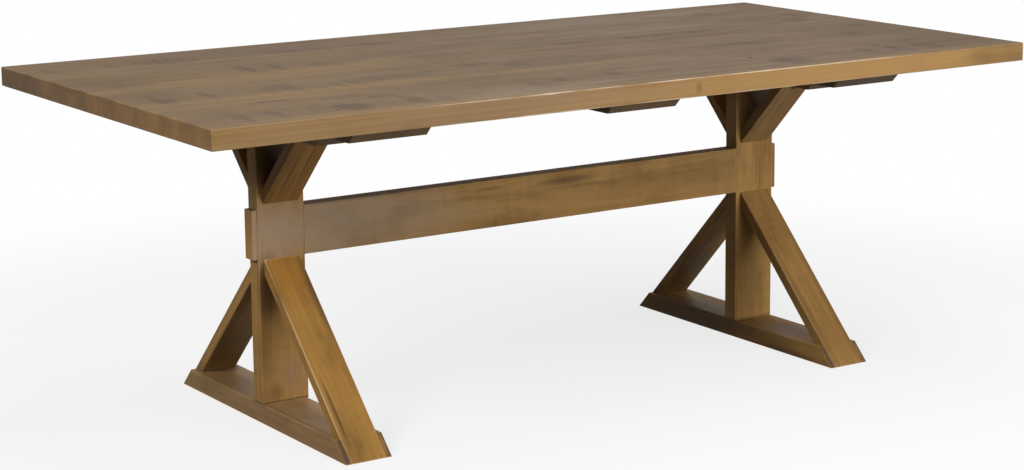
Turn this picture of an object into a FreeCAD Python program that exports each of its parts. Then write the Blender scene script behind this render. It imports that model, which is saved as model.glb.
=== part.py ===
import FreeCAD, Part
import Sketcher
import os
import re
from FreeCAD import Rotation, Vector

# Plank-top trestle table with two pedestals.
# X runs along the top, Y from the near side to the far side, Z up from the floor.
# The origin is on the floor under the middle of the top.

doc = FreeCAD.newDocument("pedestal_table")
dims = doc.addObject("Spreadsheet::Sheet", "dims")

driving_sizes = {
    # top
    "table_length": 2134,
    "table_width": 1067,
    "table_height": 762,
    "top_thickness": 43,
    "top_arris_radius": 3,
    "underside_arris_radius": 1.5,
    "seam_arris_radius": 0.8,
    "far_seam_share": 0.193,
    "middle_seam_share": 0.451,
    "near_seam_share": 0.722,
    # cross battens
    "batten_width": 184,
    "batten_thickness": 30,
    "batten_setback": 52,
    "batten_offset": 25,
    # posts and their places
    "post_spacing": 1320,
    "post_width": 114,
    "post_depth": 42,
    # feet and rails
    "foot_width": 110,
    "foot_height": 43,
    "rail_overhang": 129.5,
    "rail_width": 110,
    "rail_thickness": 30,
    # braces: the rise of the upper ones fixes the stretcher's level, and with it the lower ones and the feet
    "brace_width": 87,
    "brace_thickness": 25,
    "brace_step": 12,
    "upper_brace_rise": 166.5,
    # stretcher and its end caps
    "stretcher_height": 111,
    "stretcher_thickness": 42,
    "cap_thickness": 12,
    "cap_margin": 3,
    # easing of the frame's edges
    "frame_arris_radius": 2,
    # batten screws
    "screw_radius": 2.5,
    "screw_head_radius": 5,
    "screw_head_height": 3,
    "screw_grip": 19,
    "screw_recess": 6,
    "screw_slack": 1,
    "screw_column_share": 0.19,
    "screw_row_share": 0.25,
    # machine bolts of the stretcher and the top, lag screws of the posts
    "bolt_radius": 4,
    "bolt_slack": 0.5,
    "bolt_chamfer": 1,
    "lag_point_radius": 1,
    "head_across_corners_radius": 7.5,
    "head_height": 5.3,
    "washer_radius": 10,
    "washer_thickness": 1.6,
    "recess_radius": 11.5,
    "recess_depth": 10,
    "lag_grip": 60,
    "lag_place_share": 0.56,
    "tip_length": 6,
    # threaded inserts
    "insert_radius": 6,
    "insert_length": 20,
    "insert_end_gap": 2,
    "stretcher_bolt_share": 0.28,
    "rail_bolt_share": 0.33,
    "rail_bolt_clearance": 28,
    # dowels
    "dowel_radius": 4,
    "dowel_chamfer": 1,
    "brace_dowel_depth": 10,
    "post_dowel_depth": 15,
    "foot_dowel_depth": 18,
    "foot_brace_dowel_depth": 12,
    "dowel_place_share": 0.25,
    "cap_dowel_radius": 3,
    "cap_dowel_depth": 8,
    "cap_dowel_grip": 12,
    "cap_dowel_share": 0.1,
    # glue or drilling room round a dowel, screw or insert, and past its end
    "hole_slack": 0.1,
    "hole_end_gap": 0.5,
}

derived_sizes = {
    "half_length": "=table_length / 2",
    "half_width": "=table_width / 2",
    "top_underside": "=table_height - top_thickness",
    "rail_top": "=top_underside - batten_thickness",
    "rail_underside": "=rail_top - rail_thickness",
    "half_batten": "=half_width - batten_setback",
    "batten_reach": "=half_batten - batten_thickness",
    "far_seam": "=half_width - table_width * far_seam_share",
    "middle_seam": "=half_width - table_width * middle_seam_share",
    "near_seam": "=half_width - table_width * near_seam_share",
    "post_place": "=post_spacing / 2",
    "post_face": "=post_depth / 2",
    "post_side": "=post_width / 2",
    "batten_place": "=post_place - batten_offset",
    # a brace lies at 45 degrees, so it reaches out as far as it rises,
    # and its level or upright section is root two times its thickness
    "brace_run": "=brace_thickness * sqrt(2)",
    "upper_brace_start": "=rail_underside - upper_brace_rise",
    "upper_brace_end": "=post_face + upper_brace_rise",
    "half_rail": "=upper_brace_end + rail_overhang",
    "stretcher_top": "=upper_brace_start - brace_step",
    "brace_head": "=stretcher_top - stretcher_height",
    "half_foot": "=post_face + brace_head",
    "lower_dowel_place": "=brace_head - brace_run / 2 - brace_dowel_depth / 2",
    "upper_dowel_place": "=upper_brace_start + brace_run / 2 + brace_dowel_depth / 2",
    "rail_dowel_place": "=upper_brace_end - brace_run / 2 - brace_dowel_depth / 2",
    "foot_dowel_place": "=half_foot - brace_run - foot_height / 2",
    "dowel_column": "=brace_width * dowel_place_share",
    "lag_place": "=post_side * lag_place_share",
    "recess_floor": "=post_side - recess_depth",
    "stretcher_bolt_low": "=brace_head + stretcher_height * stretcher_bolt_share",
    "stretcher_bolt_high": "=stretcher_top - stretcher_height * stretcher_bolt_share",
    "cap_dowel_low": "=brace_head + stretcher_height * cap_dowel_share",
    "cap_dowel_high": "=stretcher_top - stretcher_height * cap_dowel_share",
    "rail_bolt_column": "=rail_width * rail_bolt_share",
    "rail_bolt_row": "=upper_brace_end + rail_bolt_clearance",
    "screw_column": "=batten_width * screw_column_share",
    "screw_head_seat": "=rail_top + screw_recess",
    "screw_length": "=batten_thickness - screw_recess + screw_grip",
    "screw_pilot_radius": "=screw_radius + hole_slack",
    "screw_pilot_depth": "=screw_grip + hole_end_gap",
    "dowel_hole_radius": "=dowel_radius + hole_slack",
    "post_dowel_hole_depth": "=post_dowel_depth + hole_end_gap",
    "brace_dowel_hole_depth": "=brace_dowel_depth + hole_end_gap",
    "cap_dowel_hole_radius": "=cap_dowel_radius + hole_slack",
    "insert_bore_radius": "=bolt_radius + hole_slack",
    "insert_hole_radius": "=insert_radius + hole_slack",
    "insert_hole_depth": "=insert_length + insert_end_gap",
    "bolt_hole_radius": "=bolt_radius + bolt_slack",
    "bolt_point_radius": "=bolt_radius - bolt_chamfer",
    "lag_pilot_radius": "=bolt_radius + hole_slack",
    # planks, far to near: each has two screws in each batten, spread over the width that the batten reaches
    "plank_1_near": "=far_seam",
    "plank_1_far": "=half_width",
    "plank_2_near": "=middle_seam",
    "plank_2_far": "=far_seam",
    "plank_3_near": "=near_seam",
    "plank_3_far": "=middle_seam",
    "plank_4_near": "=-half_width",
    "plank_4_far": "=near_seam",
}

plank_names = ("top_plank_far", "top_plank_mid_far", "top_plank_mid_near", "top_plank_near")
planks = dict(enumerate(plank_names, start=1))
for number in planks:
    derived_sizes[f"plank_{number}_low"] = f"=max(plank_{number}_near; -batten_reach)"
    derived_sizes[f"plank_{number}_high"] = f"=min(plank_{number}_far; batten_reach)"
    span = f"(plank_{number}_high - plank_{number}_low)"
    derived_sizes[f"screw_row_{number}_low"] = f"=plank_{number}_low + {span} * screw_row_share"
    derived_sizes[f"screw_row_{number}_high"] = f"=plank_{number}_high - {span} * screw_row_share"

for row, (name, size) in enumerate({**driving_sizes, **derived_sizes}.items(), start=1):
    dims.set(f"A{row}", name)
    dims.set(f"B{row}", str(size))
    dims.setAlias(f"B{row}", name)
doc.recompute()

aliases = set(driving_sizes) | set(derived_sizes)
near_zero = 1e-6
half_turn = 180
quarter_turn = 90
eighth_turn = 45
sides = {"left": -1, "right": 1}
x_axis, y_axis, z_axis = Vector(1, 0, 0), Vector(0, 1, 0), Vector(0, 0, 1)

# fasteners and dowels are drawn with their tip towards +Y, and these turns point it elsewhere
tip_towards = {
    "+X": Rotation(z_axis, -quarter_turn),
    "-X": Rotation(z_axis, quarter_turn),
    "+Y": Rotation(),
    "-Y": Rotation(z_axis, half_turn),
    "+Z": Rotation(x_axis, quarter_turn),
    "-Z": Rotation(x_axis, -quarter_turn),
    "up and far": Rotation(x_axis, eighth_turn),
    "up and near": Rotation(x_axis, half_turn - eighth_turn),
}


def bound(expression):
    """The expression as another object holds it, with the sheet's name before each alias."""
    return re.sub(r"[a-z]\w*", lambda word: f"dims.{word[0]}" if word[0] in aliases else word[0], expression)


def number_of(expression):
    return float(dims.evalExpression(bound(expression)))


def both(expression):
    return (f"-({expression})", expression)


def place(target, rotation, across="0", along="0", up="0"):
    target.Placement = FreeCAD.Placement(Vector(), rotation)
    for axis, expression in zip("xyz", (across, along, up)):
        if expression != "0":
            target.setExpression(f"Placement.Base.{axis}", bound(expression))


def tie_point(sketch, geometry, point, across, up):
    """Ties one point of the sketch to the sheet, or to an axis where its distance is nothing."""
    for kind, axis, expression in (("DistanceX", -2, across), ("DistanceY", -1, up)):
        distance = number_of(expression)
        if abs(distance) < near_zero:
            sketch.addConstraint(Sketcher.Constraint("PointOnObject", geometry, point, axis))
        else:
            index = sketch.addConstraint(Sketcher.Constraint(kind, -1, 1, geometry, point, distance))
            sketch.setExpression(f"Constraints[{index}]", bound(expression))


def draw_outline(sketch, corners):
    """A closed outline through corners, each given as two expressions."""
    points = [Vector(number_of(across), number_of(up), 0) for across, up in corners]
    for start, end in zip(points, points[1:] + points[:1]):
        sketch.addGeometry(Part.LineSegment(start, end), False)
    for index in range(len(corners)):
        following = (index + 1) % len(corners)
        sketch.addConstraint(Sketcher.Constraint("Coincident", index, 2, following, 1))
    for index, (across, up) in enumerate(corners):
        tie_point(sketch, index, 1, across, up)


def draw_circles(sketch, centres, radius):
    for index, (across, up) in enumerate(centres):
        centre = Vector(number_of(across), number_of(up), 0)
        sketch.addGeometry(Part.Circle(centre, z_axis, number_of(radius)), False)
        tie_point(sketch, index, 3, across, up)
        size = sketch.addConstraint(Sketcher.Constraint("Radius", index, number_of(radius)))
        sketch.setExpression(f"Constraints[{size}]", bound(radius))


def new_body(name, across="0", turn=0):
    body = doc.addObject("PartDesign::Body", name)
    body.Label = name
    place(body, Rotation(z_axis, turn), across)
    return body


def new_sketch(body, plane_role, offset="0"):
    sketch = body.newObject("Sketcher::SketchObject", f"{body.Name}_sketch")
    plane = next(feature for feature in body.Origin.OriginFeatures if feature.Role == plane_role)
    sketch.AttachmentSupport = [(plane, "")]
    sketch.MapMode = "FlatFace"
    if offset != "0":
        sketch.setExpression("AttachmentOffset.Base.z", bound(offset))
    return sketch


def pad_outline(body, plane_role, corners, length, offset="0", side_type="Symmetric"):
    sketch = new_sketch(body, plane_role, offset)
    draw_outline(sketch, corners)
    feature = body.newObject("PartDesign::Pad", f"{body.Name}_pad")
    feature.Profile = sketch
    feature.SideType = side_type
    feature.setExpression("Length", bound(length))
    doc.recompute()
    return feature


def rectangle(low_across, high_across, low_up, high_up):
    return [(low_across, low_up), (high_across, low_up), (high_across, high_up), (low_across, high_up)]


def check_cut(body, feature, volume_before):
    doc.recompute()
    if body.Shape.Volume > volume_before - near_zero:
        raise ValueError(f"{feature.Name} cuts nothing")


def cut(body, sketch, depth, into_normal=False, side_type="One side"):
    """Cuts the sketch's shapes away, against the sketch's normal or along it."""
    volume_before = body.Shape.Volume
    feature = body.newObject("PartDesign::Pocket", f"{body.Name}_cut")
    feature.Profile = sketch
    feature.SideType = side_type
    feature.Reversed = into_normal
    feature.setExpression("Length", bound(depth))
    check_cut(body, feature, volume_before)


def drill(body, plane_role, offset, centres, radius, depth, into_normal=False):
    sketch = new_sketch(body, plane_role, offset)
    draw_circles(sketch, centres, radius)
    cut(body, sketch, depth, into_normal)


def drill_slanted(body, across, along, up, angle, depth):
    """A dowel hole that enters a 45 degree face squarely."""
    volume_before = body.Shape.Volume
    hole = body.newObject("PartDesign::SubtractiveCylinder", f"{body.Name}_hole")
    hole.setExpression("Radius", bound("dowel_hole_radius"))
    hole.setExpression("Height", bound(depth))
    place(hole, Rotation(x_axis, angle), across, along, up)
    check_cut(body, hole, volume_before)


def ease(body, base, wanted, radius):
    """Rounds each edge of the base whose box is a wanted one."""
    edges = [f"Edge{index}" for index, edge in enumerate(base.Shape.Edges, start=1) if wanted(edge.BoundBox)]
    feature = body.newObject("PartDesign::Fillet", f"{body.Name}_easing")
    feature.Base = (base, edges)
    feature.setExpression("Radius", bound(radius))
    doc.recompute()
    return feature


def lies_on(box, axis, expression):
    """True where an edge's whole box lies at this level of X, Y or Z."""
    level = number_of(expression)
    low, high = {"x": (box.XMin, box.XMax), "y": (box.YMin, box.YMax), "z": (box.ZMin, box.ZMax)}[axis]
    return abs(low - level) < near_zero and abs(high - level) < near_zero


def on_either(box, axis, expression):
    return any(lies_on(box, axis, level) for level in both(expression))


def is_level(box):
    return box.ZMax - box.ZMin < near_zero


# The top: four planks, edge to edge from the far side to the near side

batten_places = ("-batten_place", "0", "batten_place")
rail_bolts = [(column, row) for column in both("rail_bolt_column") for row in both("rail_bolt_row")]
rail_bolt_spots = [
    (f"{side} * post_place + {column}", row)
    for side in sides.values()
    for column, row in rail_bolts
]


def screw_spots(number, batten="0"):
    """A plank's two screws in one batten, on opposite sides of the batten's middle."""
    low = (f"{batten} - screw_column", f"screw_row_{number}_low")
    high = (f"{batten} + screw_column", f"screw_row_{number}_high")
    return [low, high]


def plank_insert_spots(number):
    low = number_of(f"plank_{number}_near - insert_radius")
    high = number_of(f"plank_{number}_far + insert_radius")
    return [spot for spot in rail_bolt_spots if low < number_of(spot[1]) < high]


def make_plank(number, name):
    plank = new_body(name)
    near, far = f"plank_{number}_near", f"plank_{number}_far"
    outline = rectangle("-half_length", "half_length", near, far)
    board = pad_outline(plank, "XY_Plane", outline, "top_thickness", "top_underside", "One side")

    def on_free_side(box):
        return on_either(box, "y", "half_width")

    def on_seam(box):
        return not on_free_side(box) and (lies_on(box, "y", near) or lies_on(box, "y", far))

    def on_upper_rim(box):
        on_end = on_either(box, "x", "half_length")
        if is_level(box):
            return lies_on(box, "z", "table_height") and (on_end or on_free_side(box))
        return on_end and on_free_side(box)

    board = ease(plank, board, on_upper_rim, "top_arris_radius")
    board = ease(plank, board, lambda box: lies_on(box, "z", "top_underside") and not on_seam(box),
                 "underside_arris_radius")
    ease(plank, board, lambda box: lies_on(box, "z", "table_height") and on_seam(box), "seam_arris_radius")
    screws = [spot for batten in batten_places for spot in screw_spots(number, batten)]
    drill(plank, "XY_Plane", "top_underside", screws, "screw_pilot_radius", "screw_pilot_depth", True)
    inserts = plank_insert_spots(number)
    if inserts:
        drill(plank, "XY_Plane", "top_underside", inserts, "insert_hole_radius", "insert_hole_depth", True)
    return plank


# The frame: boards whose outline is drawn in the YZ plane and padded along X

def make_board(name, outline, width, radius, is_sharp, across="0", turn=0):
    """A board eased all round its two outline faces, apart from the edges that meet a neighbour."""
    board = new_body(name, across, turn)
    base = pad_outline(board, "YZ_Plane", outline, width)
    ease(board, base, lambda box: on_either(box, "x", f"{width} / 2") and not is_sharp(box), radius)
    return board


def make_batten(name, across):
    outline = [
        ("-half_batten", "top_underside"), ("-batten_reach", "rail_top"),
        ("batten_reach", "rail_top"), ("half_batten", "top_underside"),
    ]
    batten = make_board(name, outline, "batten_width", "underside_arris_radius",
                        lambda box: lies_on(box, "z", "top_underside"), across)
    spots = [spot for number in planks for spot in screw_spots(number)]
    drill(batten, "XY_Plane", "rail_top", spots, "screw_radius + screw_slack", "batten_thickness", True)
    drill(batten, "XY_Plane", "rail_top", spots, "screw_head_radius + screw_slack", "screw_recess", True)
    same_side = [spot for spot in rail_bolt_spots if number_of(spot[0]) * number_of(across) > 0]
    bolts = [(f"{column} - ({across})", row) for column, row in same_side]
    if bolts:
        drill(batten, "XY_Plane", "rail_top", bolts, "bolt_hole_radius", "batten_thickness", True)
    return batten


def make_rail(name, across):
    outline = [
        ("-half_rail", "rail_top"), ("-half_rail + rail_thickness", "rail_underside"),
        ("half_rail - rail_thickness", "rail_underside"), ("half_rail", "rail_top"),
    ]
    rail = make_board(name, outline, "rail_width", "frame_arris_radius",
                      lambda box: lies_on(box, "z", "rail_top"), across)
    lags = [(column, "0") for column in both("lag_place")]
    drill(rail, "XY_Plane", "rail_top", lags, "bolt_hole_radius", "rail_thickness")
    drill(rail, "XY_Plane", "rail_top", lags, "recess_radius", "recess_depth")
    drill(rail, "XY_Plane", "rail_top", rail_bolts, "bolt_hole_radius", "rail_thickness")
    dowels = [(column, row) for column in both("dowel_column") for row in both("rail_dowel_place")]
    drill(rail, "XY_Plane", "rail_underside", dowels, "dowel_hole_radius", "post_dowel_hole_depth", True)
    return rail


def make_foot(name, across):
    outline = [
        ("-half_foot", "0"), ("half_foot", "0"),
        ("half_foot - foot_height", "foot_height"), ("-half_foot + foot_height", "foot_height"),
    ]
    foot = make_board(name, outline, "foot_width", "frame_arris_radius",
                      lambda box: lies_on(box, "z", "0"), across)
    for side in ("", "-"):
        sketch = new_sketch(foot, "YZ_Plane")
        draw_outline(sketch, [
            (f"{side}(half_foot - brace_run)", "0"), (f"{side}half_foot", "0"),
            (f"{side}(half_foot - foot_height)", "foot_height"),
            (f"{side}(half_foot - brace_run - foot_height)", "foot_height"),
        ])
        cut(foot, sketch, "brace_width", side_type="Symmetric")
    lags = [(column, "0") for column in both("lag_place")]
    drill(foot, "XY_Plane", "0", lags, "bolt_hole_radius", "foot_height", True)
    drill(foot, "XY_Plane", "0", lags, "recess_radius", "recess_depth", True)
    for column in both("dowel_column"):
        for side, angle in (("", half_turn - eighth_turn), ("-", half_turn + eighth_turn)):
            drill_slanted(foot, column, f"{side}foot_dowel_place", "foot_height / 2", angle,
                          "foot_dowel_depth + hole_end_gap")
    return foot


def make_post(name, across, turn):
    post = new_body(name, across, turn)
    outline = rectangle("-post_side", "post_side", "-post_face", "post_face")
    base = pad_outline(post, "XY_Plane", outline, "rail_underside - foot_height", "foot_height", "One side")
    ease(post, base, lambda box: not is_level(box), "frame_arris_radius")
    lags = [(column, "0") for column in both("lag_place")]
    drill(post, "XY_Plane", "foot_height", lags, "lag_pilot_radius", "lag_grip + hole_end_gap", True)
    drill(post, "XY_Plane", "rail_underside", lags, "lag_pilot_radius", "lag_grip + hole_end_gap")
    bolts = [("0", level) for level in ("stretcher_bolt_low", "stretcher_bolt_high")]
    drill(post, "YZ_Plane", "-post_side", bolts, "bolt_hole_radius", "post_width", True)
    drill(post, "YZ_Plane", "-post_side", bolts, "recess_radius", "recess_depth", True)
    pegs = [("0", level) for level in ("cap_dowel_low", "cap_dowel_high")]
    peg_depth = "cap_dowel_grip + hole_end_gap"
    drill(post, "YZ_Plane", "-post_side", pegs, "cap_dowel_hole_radius", peg_depth, True)
    levels = ("lower_dowel_place", "upper_dowel_place")
    dowels = [(column, level) for column in both("dowel_column") for level in levels]
    for offset, into_normal in (("post_face", False), ("-post_face", True)):
        drill(post, "XZ_Plane", offset, dowels, "dowel_hole_radius", "post_dowel_hole_depth", into_normal)
    return post


def is_brace_end(box):
    return is_level(box) or lies_on(box, "y", "post_face")


def make_lower_brace(name, across, turn):
    outline = [
        ("post_face", "brace_head"), ("half_foot", "0"),
        ("half_foot - brace_run", "0"), ("post_face", "brace_head - brace_run"),
    ]
    brace = make_board(name, outline, "brace_width", "frame_arris_radius", is_brace_end, across, turn)
    dowels = [(column, "lower_dowel_place") for column in both("dowel_column")]
    drill(brace, "XZ_Plane", "-post_face", dowels, "dowel_hole_radius", "brace_dowel_hole_depth")
    for column in both("dowel_column"):
        drill_slanted(brace, column, "foot_dowel_place", "foot_height / 2", -eighth_turn,
                      "foot_brace_dowel_depth + hole_end_gap")
    return brace


def make_upper_brace(name, across, turn):
    outline = [
        ("post_face", "upper_brace_start"), ("upper_brace_end", "rail_underside"),
        ("upper_brace_end - brace_run", "rail_underside"), ("post_face", "upper_brace_start + brace_run"),
    ]
    brace = make_board(name, outline, "brace_width", "frame_arris_radius", is_brace_end, across, turn)
    dowels = [(column, "upper_dowel_place") for column in both("dowel_column")]
    drill(brace, "XZ_Plane", "-post_face", dowels, "dowel_hole_radius", "brace_dowel_hole_depth")
    dowels = [(column, "rail_dowel_place") for column in both("dowel_column")]
    drill(brace, "XY_Plane", "rail_underside", dowels, "dowel_hole_radius", "brace_dowel_hole_depth")
    return brace


def make_stretcher():
    stretcher = new_body("stretcher")
    half_thickness = "stretcher_thickness / 2"
    outline = rectangle(f"-{half_thickness}", half_thickness, "brace_head", "stretcher_top")
    base = pad_outline(stretcher, "YZ_Plane", outline, "post_spacing - post_width")
    ease(stretcher, base, lambda box: box.XMax - box.XMin > near_zero, "frame_arris_radius")
    bolts = [("0", level) for level in ("stretcher_bolt_low", "stretcher_bolt_high")]
    for offset, into_normal in (("post_place - post_side", False), ("-(post_place - post_side)", True)):
        drill(stretcher, "YZ_Plane", offset, bolts, "insert_hole_radius", "insert_hole_depth", into_normal)
    return stretcher


def make_cap(name, across, turn):
    """A block in the stretcher's section, drawn as the left one with its outer face towards -X."""
    cap = new_body(name, across, turn)
    half = "(post_face - cap_margin)"
    outline = rectangle(f"-{half}", half, "brace_head", "stretcher_top")
    base = pad_outline(cap, "YZ_Plane", outline, "cap_thickness", "-post_side - cap_thickness", "One side")
    ease(cap, base, lambda box: not lies_on(box, "x", "-post_side"), "frame_arris_radius")
    pegs = [("0", level) for level in ("cap_dowel_low", "cap_dowel_high")]
    drill(cap, "YZ_Plane", "-post_side", pegs, "cap_dowel_hole_radius", "cap_dowel_depth + hole_end_gap")
    return cap


# Fasteners and dowels: one drawn piece of each sort, and groups of it where the joints are

def make_turned(name, outline):
    """A piece turned about its Y axis from half its section."""
    sketch = doc.addObject("Sketcher::SketchObject", f"{name}_section")
    draw_outline(sketch, outline)
    turned = doc.addObject("Part::Revolution", name)
    turned.Source = sketch
    turned.Axis = y_axis
    turned.Solid = True
    return turned


def make_hex_bolt(name, length, tip, point_radius):
    """A hexagon bolt whose head bears on a washer; Y starts at the face under the washer."""
    shank = make_turned(f"{name}_shank", [
        ("0", "-washer_thickness"), ("bolt_radius", "-washer_thickness"),
        ("bolt_radius", f"{length} - {tip}"), (point_radius, length), ("0", length),
    ])
    head = doc.addObject("Part::Prism", f"{name}_head")
    head.Polygon = 6
    head.setExpression("Circumradius", bound("head_across_corners_radius"))
    head.setExpression("Height", bound("head_height"))
    place(head, tip_towards["+Z"], along="-washer_thickness")
    bolt = doc.addObject("Part::Fuse", name)
    bolt.Base = shank
    bolt.Tool = head
    return bolt


def make_dowel(name, radius, back, front):
    """A dowel that reaches back and front of the joint's face."""
    return make_turned(name, [
        ("0", f"-{back}"), (f"{radius} - dowel_chamfer", f"-{back}"), (radius, f"-{back} + dowel_chamfer"),
        (radius, f"{front} - dowel_chamfer"), (f"{radius} - dowel_chamfer", front), ("0", front),
    ])


def make_group(name, piece, spots):
    """Copies of a piece, each at (across, along, up) with its tip towards one of the named ways."""
    copies = []
    for across, along, up, way in spots:
        copy = doc.addObject("App::Link", f"{name}_copy")
        copy.LinkedObject = piece
        place(copy, tip_towards[way], across, along, up)
        copies.append(copy)
    group = doc.addObject("Part::Compound", name)
    group.Label = name
    group.Links = copies
    return group


batten_screw = make_turned("batten_screw", [
    ("0", "-screw_head_height"), ("screw_head_radius", "-screw_head_height"), ("screw_head_radius", "0"),
    ("screw_radius", "0"), ("screw_radius", "screw_length - tip_length"), ("0", "screw_length"),
])
washer = make_turned("washer", rectangle("bolt_hole_radius", "washer_radius", "-washer_thickness", "0"))
insert = make_turned("insert", rectangle("insert_bore_radius", "insert_radius", "0", "insert_length"))
machine_point = ("bolt_chamfer", "bolt_point_radius")
lag_point = ("tip_length", "lag_point_radius")
rail_bolt = make_hex_bolt("rail_bolt", "rail_thickness + batten_thickness + insert_length", *machine_point)
stretcher_bolt = make_hex_bolt("stretcher_bolt", "post_width - recess_depth + insert_length", *machine_point)
foot_lag = make_hex_bolt("foot_lag", "foot_height - recess_depth + lag_grip", *lag_point)
rail_lag = make_hex_bolt("rail_lag", "rail_thickness - recess_depth + lag_grip", *lag_point)
post_dowel = make_dowel("post_dowel", "dowel_radius", "post_dowel_depth", "brace_dowel_depth")
foot_dowel = make_dowel("foot_dowel", "dowel_radius", "foot_dowel_depth", "foot_brace_dowel_depth")
cap_dowel = make_dowel("cap_dowel", "cap_dowel_radius", "cap_dowel_grip", "cap_dowel_depth")


def side_groups(side):
    """The fasteners and dowels of one pedestal."""
    sign = sides[side]
    middle = f"{sign} * post_place"
    outer_face = f"{sign} * (post_place + post_side)"
    inwards, outwards = ("+X", "-X") if sign < 0 else ("-X", "+X")
    bolt_levels = ("stretcher_bolt_low", "stretcher_bolt_high")
    bolt_seats = [(f"{sign} * (post_place + recess_floor)", "0", level, inwards) for level in bolt_levels]
    insert_seats = [(f"{sign} * (post_place - post_side)", "0", level, inwards) for level in bolt_levels]
    lags = [f"{middle} + {column}" for column in both("lag_place")]
    foot_seats = [(lag, "0", "recess_depth", "+Z") for lag in lags]
    rail_seats = [(lag, "0", "rail_top - recess_depth", "-Z") for lag in lags]
    corners = [(f"{middle} + {column}", row) for column, row in rail_bolts]
    columns = [f"{middle} + {column}" for column in both("dowel_column")]
    faces = (("-post_face", "-Y"), ("post_face", "+Y"))
    levels = ("lower_dowel_place", "upper_dowel_place")
    slants = (("-foot_dowel_place", "up and near"), ("foot_dowel_place", "up and far"))
    return [
        make_group(f"{side}_stretcher_bolts", stretcher_bolt, bolt_seats),
        make_group(f"{side}_stretcher_bolt_washers", washer, bolt_seats),
        make_group(f"{side}_stretcher_inserts", insert, insert_seats),
        make_group(f"{side}_foot_lag_screws", foot_lag, foot_seats),
        make_group(f"{side}_foot_lag_washers", washer, foot_seats),
        make_group(f"{side}_rail_lag_screws", rail_lag, rail_seats),
        make_group(f"{side}_rail_lag_washers", washer, rail_seats),
        make_group(f"{side}_top_bolts", rail_bolt, [(x, y, "rail_underside", "+Z") for x, y in corners]),
        make_group(f"{side}_top_bolt_washers", washer, [(x, y, "rail_underside", "+Z") for x, y in corners]),
        make_group(f"{side}_top_inserts", insert, [(x, y, "top_underside", "+Z") for x, y in corners]),
        make_group(f"{side}_brace_to_post_dowels", post_dowel,
                   [(x, face, level, way) for x in columns for face, way in faces for level in levels]),
        make_group(f"{side}_brace_to_rail_dowels", post_dowel,
                   [(x, row, "rail_underside", "-Z") for x in columns for row in both("rail_dowel_place")]),
        make_group(f"{side}_brace_to_foot_dowels", foot_dowel,
                   [(x, row, "foot_height / 2", way) for x in columns for row, way in slants]),
        make_group(f"{side}_cap_dowels", cap_dowel,
                   [(outer_face, "0", level, outwards) for level in ("cap_dowel_low", "cap_dowel_high")]),
    ]


def batten_screws(name, across):
    spots = [spot for number in planks for spot in screw_spots(number, across)]
    return make_group(name, batten_screw, [(x, y, "screw_head_seat", "+Z") for x, y in spots])


nodes = [make_plank(number, name) for number, name in planks.items()]
for name, across in zip(("left", "middle", "right"), batten_places):
    nodes.append(make_batten(f"{name}_batten", across))
    nodes.append(batten_screws(f"{name}_batten_screws", across))
nodes.append(make_stretcher())
for side, sign in sides.items():
    middle = f"{sign} * post_place"
    outward_turn = 0 if sign < 0 else half_turn
    nodes.append(make_rail(f"{side}_top_rail", middle))
    nodes.append(make_foot(f"{side}_foot", middle))
    nodes.append(make_post(f"{side}_post", middle, outward_turn))
    nodes.append(make_cap(f"{side}_stretcher_cap", middle, outward_turn))
    for way, turn in (("far", 0), ("near", half_turn)):
        nodes.append(make_lower_brace(f"{side}_{way}_lower_brace", middle, turn))
        nodes.append(make_upper_brace(f"{side}_{way}_upper_brace", middle, turn))
    nodes.extend(side_groups(side))
doc.recompute()

for made in doc.Objects:
    if "Invalid" in made.State or "Error" in made.State:
        raise ValueError(f"{made.Name} failed: {made.State}")
for node in nodes:
    if node.Shape.isNull() or not node.Shape.isValid():
        raise ValueError(f"{node.Label} has no valid shape")

os.makedirs("parts", exist_ok=True)
for node in nodes:
    node.Shape.exportStep(f"parts/{node.Label}.step")
    print(node.Label, len(node.Shape.Solids), round(node.Shape.Volume))
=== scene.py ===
import math

import bpy
from mathutils import Matrix, Vector


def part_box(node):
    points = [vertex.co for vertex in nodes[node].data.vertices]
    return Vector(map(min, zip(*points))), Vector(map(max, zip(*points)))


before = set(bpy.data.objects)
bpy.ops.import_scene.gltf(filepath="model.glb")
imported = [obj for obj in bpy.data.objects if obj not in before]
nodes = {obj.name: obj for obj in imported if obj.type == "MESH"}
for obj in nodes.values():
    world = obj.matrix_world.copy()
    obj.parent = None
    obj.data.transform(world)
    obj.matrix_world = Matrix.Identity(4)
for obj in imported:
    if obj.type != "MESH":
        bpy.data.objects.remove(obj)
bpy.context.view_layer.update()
print("frame loaded:", len(nodes), "nodes")

alongX, alongY, alongZ = (1, 0, 0), (0, 1, 0), (0, 0, 1)


# Colours are written as they look on screen, 0 to 255, and this takes out the screen's curve
def paint(red, green, blue):
    def toLinear(level):
        level = level / 255
        return level / 12.92 if level <= 0.04045 else ((level + 0.055) / 1.055) ** 2.4
    return (toLinear(red), toLinear(green), toLinear(blue), 1.0)


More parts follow.
